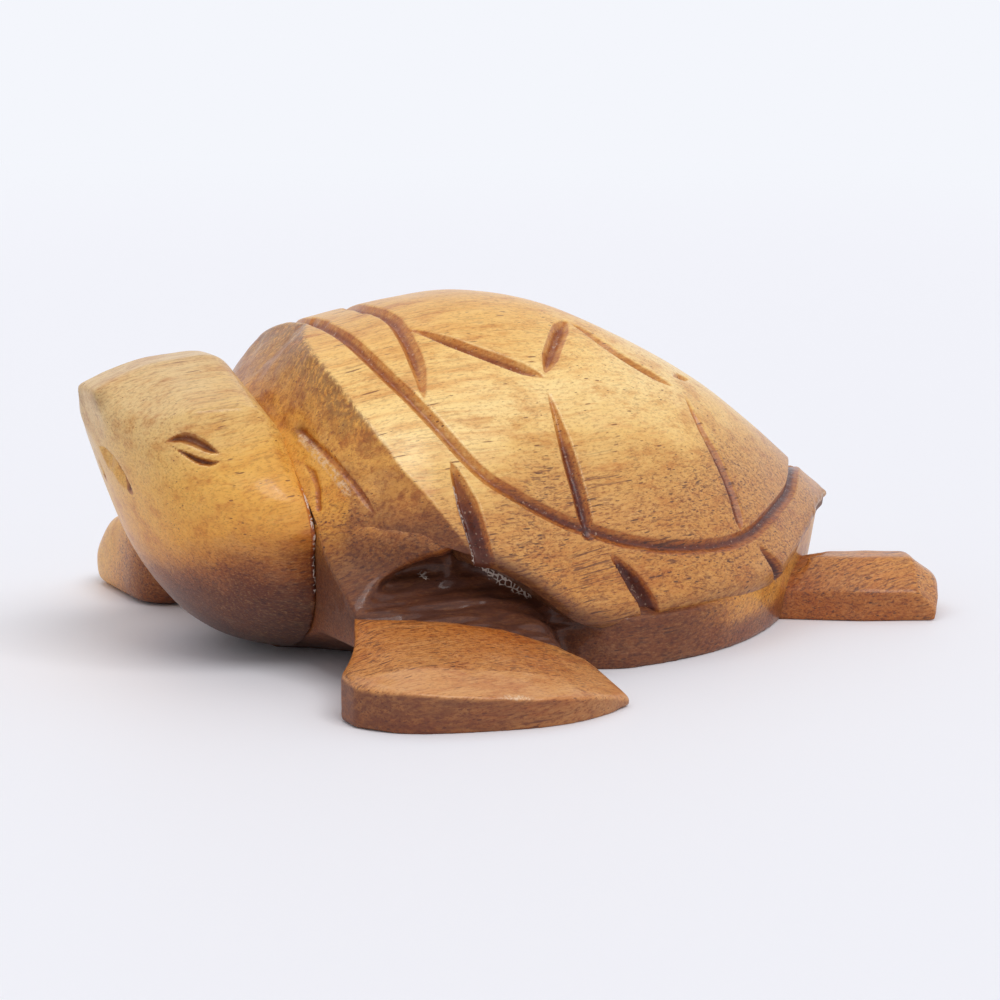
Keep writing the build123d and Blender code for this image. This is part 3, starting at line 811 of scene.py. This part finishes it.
def make_front_flipper(node, grid, left):
    if not left:
        grid = grid[:, ::-1] * (1, -1, 1)
    piece = closed_tube(node + "_carved", grid)
    if not left:
        round_off(piece, 0.5, 20, 20, lambda p: ramp(p[:, 0], -28.0, -33.0))
    round_off(piece, flipper_mesh, 4, 30, lambda p: np.maximum(
        ramp(p[:, 0], -32.0, -33.5), ramp(p[:, 0], -10.0, -8.0)))
    points = wood_surface(piece, 31)
    x, y, z = points.T
    if left:
        # inside the line where it meets the body the top stays below the body's foot, and the fore end bulges
        joint_y, joint_z = joint_at(x)
        z -= np.clip(z - joint_z - 0.1, 0, None) * ramp(joint_y - np.abs(y), -1.5, 0.5)
        x -= left_fore_bulge * ramp(x, -30.5, -34.0) * ramp(z, 8.0, 4.0)
    else:
        x -= right_fore_reach * ramp(x, -30.0, -34.0)
        y += right_fore_spread * ramp(x, -24.0, -33.0) * ramp(y, 30.0, 42.0)
    set_positions(piece, points)

    p = mirror_left(points)
    out, up = np.abs(y), normals(piece)[:, 2]
    edge = ramp(np.abs(out - paddle_line(paddle_edge_shares, x)), 0.9, 0.3) * ramp(up, 0.2, 0.5)
    marks = dict(pale=edge * blob(p, (-21.5, -45.3, 3.3), (3.0, 2.0, 2.0)))
    if left:
        # painted light: the facet that faces up is paler; the flipper also grows paler towards its rear
        facet = ramp(out - paddle_line(paddle_ridge_shares, x), -0.3, 0.6) * ramp(up, 0.5, 0.8)
        facet *= ramp(x, -35.0, -31.0) * ramp(x, -12.0, -17.0)
        marks["shift"] = np.maximum(0.6 * facet, 0.35 * ramp(x, -16.0, -9.0))
        # painted shade on the steep sides, more so towards the fore end
        marks["stain"] = ramp(up, 0.5, 0.1) * (0.45 + 0.4 * ramp(x, -12.0, -30.0))
    else:
        # golden, paler wood, partly painted light against the shade that the head casts on it
        marks.update(shift=-0.5, amber=0.9)
    finish_piece(piece, node, "flipper_wood", **marks)


# Rear flippers, from the model's own solids

def make_rear_flipper(node):
    piece = cad_copy(node + "_carved", node)
    round_off(piece, stub_mesh, 14, 30, lambda p: ramp(p[:, 0], 44.0, 48.0))
    points = wood_surface(piece, 41)
    x, y, z = points.T
    root = ramp(x, 38.0, 30.0)
    x -= stub_root_forward * root
    y -= stub_root_inward * root * np.sign(y)
    x += ramp(x, 42.0, 49.0) * (stub_bulge * ramp(z, 0.0, 2.5) * ramp(z, 6.5, 3.0) - 0.3 * ramp(z, 1.0, 0.0))
    set_positions(piece, points)
    # painted shade on the steep walls short of the end, and painted light as a golden top
    wall = ramp(normals(piece)[:, 2], 0.5, 0.1) * ramp(x, 49.0, 45.0)
    finish_piece(piece, node, "flipper_wood", stain=0.3 * wall, amber=0.5 * (1 - wall), shift=0.3)


# Wood

def srgb(red, green, blue):
    """Linear colour from the usual 0 to 255 values."""
    parts = [c / 255 for c in (red, green, blue)]
    return tuple(c / 12.92 if c <= 0.04045 else ((c + 0.055) / 1.055) ** 2.4 for c in parts) + (1.0,)


class Nodes:
    """Short ways to add and join shader nodes."""

    def __init__(self, owner):
        owner.use_nodes = True
        self.tree = owner.node_tree
        self.tree.nodes.clear()

    def add(self, kind, inputs=None, **settings):
        node = self.tree.nodes.new(kind)
        for key, value in settings.items():
            setattr(node, key, value)
        for key, value in (inputs or {}).items():
            self.put(node.inputs[key], value)
        return node

    def put(self, socket, value):
        if isinstance(value, bpy.types.NodeSocket):
            self.tree.links.new(value, socket)
        else:
            socket.default_value = value

    def math(self, operation, first, second=0.0, third=0.0):
        return self.add("ShaderNodeMath", {0: first, 1: second, 2: third}, operation=operation).outputs[0]

    def times(self, first, second):
        return self.math("MULTIPLY", first, second)

    def linear(self, value, factor, base):
        return self.math("MULTIPLY_ADD", value, factor, base)

    def vector(self, operation, first, second=(0, 0, 0)):
        node = self.add("ShaderNodeVectorMath", {0: first, 1: second}, operation=operation)
        return node.outputs["Value" if operation == "LENGTH" else "Vector"]

    def scaled(self, vector, amounts):
        return self.vector("MULTIPLY", vector, amounts)

    def noise(self, vector, scale, detail=2.0, roughness=0.5, distortion=0.0):
        """Noise from 0 to 1, its vector scaled by one number or by one for each axis."""
        if isinstance(scale, tuple):
            vector, scale = self.scaled(vector, scale), 1.0
        node = self.add("ShaderNodeTexNoise", {
            "Vector": vector, "Scale": scale, "Detail": detail, "Roughness": roughness, "Distortion": distortion})
        return node.outputs["Fac"]

    def step(self, value, low, high, out_low=0.0, out_high=1.0):
        """Smooth step from out_low where the value is low to out_high where it is high."""
        node = self.add("ShaderNodeMapRange", {
            "Value": value, "From Min": low, "From Max": high, "To Min": out_low, "To Max": out_high},
            interpolation_type="SMOOTHSTEP")
        return node.outputs["Result"]

    def mix(self, amount, first, second, blend="MIX"):
        inputs = {"Factor": amount, 6: first, 7: second}
        return self.add("ShaderNodeMix", inputs, data_type="RGBA", blend_type=blend).outputs[2]

    def darken(self, amount, colour, rgb):
        return self.mix(amount, colour, srgb(*rgb), "MULTIPLY")

    def ramp(self, value, stops):
        node = self.add("ShaderNodeValToRGB", {"Fac": value})
        elements = node.color_ramp.elements
        while len(elements) < len(stops):
            elements.new(0.5)
        for element, (place, colour) in zip(elements, stops):
            element.position = place
            element.color = colour
        return node.outputs["Color"]

    def mark(self, name):
        return self.add("ShaderNodeAttribute", attribute_name=name).outputs["Fac"]


grain_tilt = 6.0            # degrees that the grain rises towards the tail
heart_top = 23.5            # height of the top of the heartwood, at heart_x and heart_y
heart_x = 2.0
heart_y = -9.0
heart_fall_x = 0.0039       # how it falls to front and rear, and to the sides
heart_fall_y = 0.0135


def wood_material(name, colours, offset=0.0, pore_share=0.6, stain_colour=(84, 42, 26), speckle=0.35):
    """Lacquered hardwood cut from one block: the same grain runs through every piece that uses it.

    The colours go with the height in millimetres over the boundary between the brown heartwood and the pale sapwood.
    """
    material = bpy.data.materials.new(name)
    n = Nodes(material)
    metres = n.add("ShaderNodeTexCoord").outputs["Object"]
    point = n.scaled(metres, (1 / MM,) * 3)
    turn = n.add(
        "ShaderNodeVectorRotate", {"Vector": point, "Angle": math.radians(grain_tilt)}, rotation_type="Y_AXIS")
    wander = n.add("ShaderNodeTexNoise", {"Vector": point, "Scale": 0.05, "Detail": 2.0}).outputs["Color"]
    wander = n.scaled(n.vector("SUBTRACT", wander, (0.5, 0.5, 0.5)), (0.0, 3.0, 3.0))
    grain = n.vector("ADD", turn.outputs["Vector"], wander)

    # age: height over the boundary, which falls away to the front, the rear and the sides
    parts = n.add("ShaderNodeSeparateXYZ", {"Vector": point}).outputs
    age = n.math("SUBTRACT", parts["Z"], heart_top - offset)
    for axis, middle, fall in (("X", heart_x, heart_fall_x), ("Y", heart_y, heart_fall_y)):
        away = n.math("SUBTRACT", parts[axis], middle)
        age = n.linear(n.times(away, away), fall, age)
    mottle = n.noise(grain, 0.10, 3.0, 0.55)
    streak = n.noise(grain, (0.04, 0.7, 0.7), 4.0, 0.6)
    fibre = n.noise(grain, (0.12, 3.0, 3.0), 4.0, 0.65)
    for wave, amount in ((mottle, 7.0), (streak, 5.0)):
        age = n.linear(n.math("SUBTRACT", wave, 0.5), amount, age)
    age = n.linear(n.mark("shift"), 20.0, age)
    share = n.add("ShaderNodeMapRange", {"Value": age, "From Min": -20.0, "From Max": 20.0}).outputs["Result"]
    heart = n.step(age, 3.0, -3.0)

    def by_age(stops):
        return n.ramp(share, [((height + 20) / 40, srgb(*rgb)) for height, rgb in stops])

    colour = by_age(colours)
    collar_colour = by_age((
        (-12, (108, 56, 20)), (-5, (144, 82, 34)), (-1, (190, 122, 56)), (2, (220, 158, 76)), (8, (226, 164, 70)),
        (14, (212, 152, 70))))
    grey = n.step(n.noise(point, 0.30, 5.0, 0.6), 0.42, 0.62, 0.0, 0.45)
    collar_colour = n.darken(grey, collar_colour, (196, 176, 132))
    vein = n.step(n.noise(point, 0.9, 5.0, 0.75, 0.8), 0.47, 0.60, 0.0, 0.55)
    collar_colour = n.darken(vein, collar_colour, (186, 142, 96))
    colour = n.mix(n.mark("collar"), colour, collar_colour)
    fibrous = n.step(n.noise(point, (2.4, 2.4, 0.45), 3.0, 0.6), 0.40, 0.56)
    colour = n.mix(n.times(n.mark("fray"), fibrous), colour, srgb(146, 100, 46))
    colour = n.mix(n.mark("amber"), colour, by_age((
        (-14, (118, 58, 18)), (-8, (156, 90, 32)), (-4, (206, 136, 54)), (0, (230, 162, 62)), (5, (236, 176, 76)))))

    # clouds, fine dark fibres, streaks, and the speckle of the brown wood
    cloud = n.noise(grain, (0.12, 0.34, 0.34), 5.0, 0.72)
    fine = n.noise(grain, (1.6, 4.5, 4.5), 3.0, 0.7)
    grit = n.noise(grain, (0.9, 2.6, 2.6), 3.0, 0.7)
    line = n.step(n.noise(grain, (0.07, 3.4, 3.4), 2.0, 0.5), 0.57, 0.66)
    line = n.times(line, n.step(n.noise(grain, 0.16, 2.0, 0.5), 0.38, 0.56))
    for amount, rgb, blend in (
            (n.step(cloud, 0.49, 0.66, 0.0, 0.55), (218, 176, 122), "MULTIPLY"),
            (n.step(cloud, 0.49, 0.34, 0.0, 0.45), (84, 78, 60), "SCREEN"),
            (n.step(fibre, 0.45, 0.75, 0.0, 0.45), (206, 146, 84), "MULTIPLY"),
            (n.step(streak, 0.50, 0.75, 0.0, 0.35), (222, 170, 110), "MULTIPLY"),
            (n.times(n.step(fine, 0.50, 0.66), n.linear(heart, 0.35, 0.34)), (150, 96, 56), "MULTIPLY"),
            (n.times(n.step(fine, 0.46, 0.34), n.linear(heart, 0.45, 0.24)), (118, 90, 58), "SCREEN"),
            (n.times(n.step(grit, 0.48, 0.66), n.linear(heart, speckle, 0.08)), (128, 74, 42), "MULTIPLY"),
            (n.times(line, n.linear(heart, 0.6, 0.2)), (96, 52, 30), "MIX")):
        colour = n.mix(amount, colour, srgb(*rgb), blend)

    # pores: short dark dashes along the grain, dots where the cut crosses it
    pores = None
    for scale, reach, keep in (((0.19, 2.2, 2.2), 0.26, 0.50), ((0.5, 3.2, 3.2), 0.20, 0.32)):
        cells = n.add("ShaderNodeTexVoronoi", {"Vector": n.scaled(grain, scale), "Scale": 1.0})
        pick = n.add("ShaderNodeSeparateColor", {"Color": cells.outputs["Color"]}).outputs
        limit = n.linear(heart, 0.35, keep * pore_share)
        chosen = n.math("LESS_THAN", pick[0], limit)
        size = n.linear(pick[1], reach * 0.6, reach * 0.4)
        inside = n.math("SUBTRACT", size, cells.outputs["Distance"])
        dash = n.times(n.step(inside, 0.0, reach * 0.3), chosen)
        pores = dash if pores is None else n.math("MAXIMUM", pores, dash)
    pore_colour = n.mix(heart, srgb(132, 80, 38), srgb(76, 38, 22))
    colour = n.mix(n.times(pores, 0.85), colour, pore_colour)

    # what the knife and the lacquer did, with painted shade and painted glints
    knife = n.mark("cut")
    cut = n.times(n.step(knife, 0.02, 0.22), n.step(n.noise(point, 1.3, 4.0, 0.65), 0.25, 0.6, 0.5, 1.0))
    colour = n.darken(cut, colour, (212, 172, 120))
    colour = n.darken(n.times(n.step(knife, 0.45, 0.9), 0.75), colour, (178, 126, 82))
    colour = n.darken(n.times(n.step(knife, 0.3, 0.9), heart), colour, (168, 124, 96))
    # painted glints: pale specks along the deepest part of the cuts
    glint = n.times(n.step(knife, 0.5, 0.9), n.step(n.noise(point, 2.6), 0.62, 0.70, 0.0, 0.5))
    colour = n.mix(glint, colour, srgb(214, 178, 150))
    # stain and painted shade where the mark says, in patches
    patchy = n.step(n.noise(point, (0.25, 1.0, 1.8), 3.0, 0.6), 0.40, 0.62, 1.0, 0.78)
    colour = n.mix(n.times(n.mark("stain"), patchy), colour, srgb(*stain_colour))
    chip = n.step(n.noise(point, 1.6, 5.0, 0.8), 0.44, 0.60, 0.0, 0.75)
    colour = n.mix(n.times(n.step(n.mark("pale"), 0.1, 0.8), chip), colour, srgb(228, 196, 160))
    # painted glints: a net of small pale rings, like light caught on the lacquer, where the mark says
    glint_cells = n.add("ShaderNodeTexVoronoi", {"Vector": point, "Scale": 1.9}, feature="DISTANCE_TO_EDGE")
    ragged = n.linear(n.math("SUBTRACT", n.noise(point, 1.2), 0.5), 1.2, n.mark("foam"))
    glint_ring = n.times(n.step(glint_cells.outputs["Distance"], 0.16, 0.06), n.step(ragged, 0.35, 0.60))
    colour = n.mix(n.times(glint_ring, 0.85), colour, srgb(222, 208, 196))

    # height of the surface, for the bump
    height = n.times(n.noise(point, 0.9, 3.0, 0.55), 0.7)
    height = n.linear(pores, -0.45, height)
    height = n.linear(fibre, 0.35, height)
    height = n.linear(fine, n.linear(heart, 0.5, 0.25), height)
    height = n.linear(n.times(grit, n.math("ADD", n.mark("collar"), heart)), 0.35, height)
    height = n.linear(glint_ring, 0.5, height)
    bump = n.add("ShaderNodeBump", {"Height": height, "Strength": 0.7, "Distance": 0.1 * MM})
    shader = n.add("ShaderNodeBsdfPrincipled", {
        "Base Color": colour, "Roughness": n.linear(n.mark("stain"), 0.3, 0.45), "IOR": 1.4,
        "Coat Weight": 0.35, "Coat Roughness": 0.12, "Coat IOR": 1.45,
        "Normal": bump.outputs["Normal"]})
    n.add("ShaderNodeOutputMaterial", {"Surface": shader.outputs["BSDF"]})
    return material


materials = {
    "shell_wood": wood_material("shell_wood", (
        (-18, (188, 124, 58)), (-8, (204, 140, 66)), (-3, (210, 150, 78)), (0, (220, 165, 88)), (2.5, (241, 195, 114)),
        (6, (255, 220, 148)), (10, (252, 210, 130)), (14, (240, 186, 98)), (19, (228, 172, 86))), pore_share=0.75),
    "head_wood": wood_material("head_wood", (
        (-12, (84, 40, 12)), (-5, (112, 54, 16)), (-2, (156, 88, 32)), (0.5, (204, 134, 54)), (4, (232, 164, 64)),
        (9, (236, 178, 80)), (14, (232, 186, 106)), (19, (224, 188, 128))), offset=3.6, pore_share=0.5),
    "body_wood": wood_material("body_wood", (
        (-19, (142, 80, 38)), (-12, (144, 80, 34)), (-6, (142, 78, 28)), (0, (172, 104, 44))), offset=1.0,
        stain_colour=(68, 30, 14), speckle=0.5),
    "flipper_wood": wood_material("flipper_wood", (
        (-19, (200, 122, 54)), (-10, (190, 108, 36)), (-4, (200, 132, 66)), (2, (212, 150, 88))),
        stain_colour=(96, 46, 30)),
}

make_carapace()
make_head()
make_body()
make_front_flipper("front_flipper_left", paddle_grid(
    paddle_edge_shares, paddle_ridge_shares, left_root_shares + paddle_root_shares[3:]), left=True)
make_front_flipper("front_flipper_right", paddle_grid(
    right_edge_shares + paddle_edge_shares[3:], right_ridge_shares + paddle_ridge_shares[3:],
    right_root_shares + paddle_root_shares[3:]), left=False)
make_rear_flipper("rear_flipper_left")
make_rear_flipper("rear_flipper_right")


# Floor, light and camera

background = srgb(244, 246, 252)
floor_half = 6.0            # metres
floor_fade = (0.35, 1.1)    # metres from the middle over which the floor turns into the background
lamps = (                   # name, direction that the light comes from, strength, size in degrees
    ("key", (0.10, -0.65, 1.0), 1.14, 35.0), ("spark", (0.30, -0.55, 1.0), 0.09, 8.0),
    ("top", (-0.2, 0.5, 1.0), 0.35, 60.0))


def seen_directly(n):
    """1 for the camera and for what it sees in gloss or glass, 0 for the light that falls on things."""
    path = n.add("ShaderNodeLightPath").outputs
    seen = n.math("MAXIMUM", path["Is Camera Ray"], path["Is Glossy Ray"])
    return n.math("MAXIMUM", seen, path["Is Transmission Ray"])


def make_floor():
    corners = [(x * floor_half, y * floor_half, 0) for x, y in ((-1, -1), (1, -1), (1, 1), (-1, 1))]
    floor = make_object("floor", corners, [(0, 1, 2, 3)])
    material = bpy.data.materials.new("floor_white")
    n = Nodes(material)
    shader = n.add("ShaderNodeBsdfPrincipled", {"Base Color": srgb(243, 243, 248), "Roughness": 0.6})
    away = n.vector("LENGTH", n.add("ShaderNodeTexCoord").outputs["Object"])
    far = n.times(n.step(away, *floor_fade), seen_directly(n))
    glow = n.add("ShaderNodeEmission", {"Color": background, "Strength": 1.0})
    mix = n.add("ShaderNodeMixShader", {"Fac": far, 1: shader.outputs["BSDF"], 2: glow.outputs["Emission"]})
    n.add("ShaderNodeOutputMaterial", {"Surface": mix.outputs["Shader"]})
    floor.data.materials.append(material)


def make_light():
    world = bpy.data.worlds.new("studio")
    bpy.context.scene.world = world
    n = Nodes(world)
    light = n.add("ShaderNodeBackground", {"Color": srgb(250, 251, 255), "Strength": 0.57})
    seen = n.add("ShaderNodeBackground", {"Color": background, "Strength": 1.0})
    mix = n.add("ShaderNodeMixShader", {
        "Fac": seen_directly(n), 1: light.outputs["Background"], 2: seen.outputs["Background"]})
    n.add("ShaderNodeOutputWorld", {"Surface": mix.outputs["Shader"]})
    for name, direction, strength, angle in lamps:
        lamp = bpy.data.lights.new(name, "SUN")
        lamp.energy = strength
        lamp.angle = math.radians(angle)
        holder = add_object(name, lamp)
        holder.rotation_mode = "QUATERNION"
        holder.rotation_quaternion = Vector(direction).to_track_quat("Z", "Y")


def make_camera():
    data = bpy.data.cameras.new("camera")
    data.lens = camera_lens
    data.clip_start, data.clip_end = 0.01, 50.0
    camera = add_object("camera", data)
    camera.location = [c * MM for c in camera_place]
    camera.rotation_euler = (math.radians(90 - camera_elevation), 0, math.radians(camera_azimuth))
    bpy.context.scene.camera = camera


make_floor()
make_light()
make_camera()
bpy.context.scene.view_settings.view_transform = "Standard"
